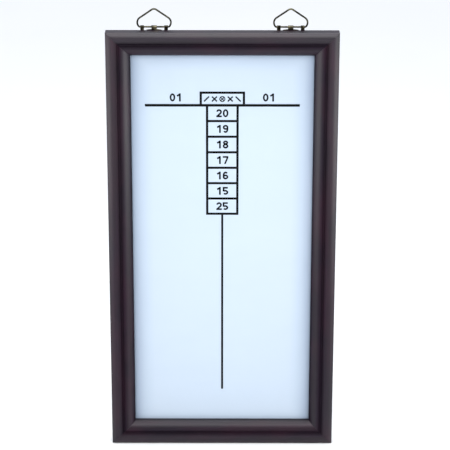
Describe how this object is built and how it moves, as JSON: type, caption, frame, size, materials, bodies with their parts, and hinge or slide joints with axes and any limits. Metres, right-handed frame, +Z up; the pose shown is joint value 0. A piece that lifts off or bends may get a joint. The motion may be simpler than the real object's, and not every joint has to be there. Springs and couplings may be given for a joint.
{
  "type": "dry erase dart scoreboard",
  "caption": "Tall framed white writing board printed with a darts score chart, in a mitred dark wood moulding, hung by wire rings that swing on stamped plates behind its top rail.",
  "frame": {"origin": "middle of the bottom rail's back face, on the plane of the frame's back", "axes": "+Z up the board, +Y into the wall it hangs on, +X to the right seen from the front"},
  "size_m": [0.3048, 0.0221, 0.6127],
  "materials": {
    "stained_wood": "satin dark mahogany stain and lacquer",
    "white_coating": "glossy white dry erase film",
    "hardboard": "bare brown hardboard",
    "black_ink": "satin screen-printed black",
    "zinc_steel": "bright zinc plate",
    "aged_brass": "aged brass plate on steel"
  },
  "bodies": {
    "board": {"frame_top_rail": "stained_wood", "frame_bottom_rail": "stained_wood", "frame_left_stile": "stained_wood", "frame_right_stile": "stained_wood", "score_grid": "black_ink", "score_numbers": "black_ink", "header_tally_marks": "black_ink", "dry_erase_face": "white_coating", "panel_core": "hardboard", "corner_v_nails": "zinc_steel", "retaining_points": "zinc_steel", "left_hanger_plate": "aged_brass", "right_hanger_plate": "aged_brass", "left_hanger_screws": "aged_brass", "right_hanger_screws": "aged_brass"},
    "left_ring": {"left_hanger_ring": "aged_brass"},
    "right_ring": {"right_hanger_ring": "aged_brass"}
  },
  "joints": [
    {"name": "left_ring_hinge", "type": "hinge", "parent": "board", "child": "left_ring", "pos_m": [-0.0889, 0.00205, 0.57455], "axis": [-1, 0, 0], "range_deg": [-98, 178]},
    {"name": "right_ring_hinge", "type": "hinge", "parent": "board", "child": "right_ring", "pos_m": [0.0889, 0.00205, 0.57455], "axis": [-1, 0, 0], "range_deg": [-98, 178]}
  ]
}
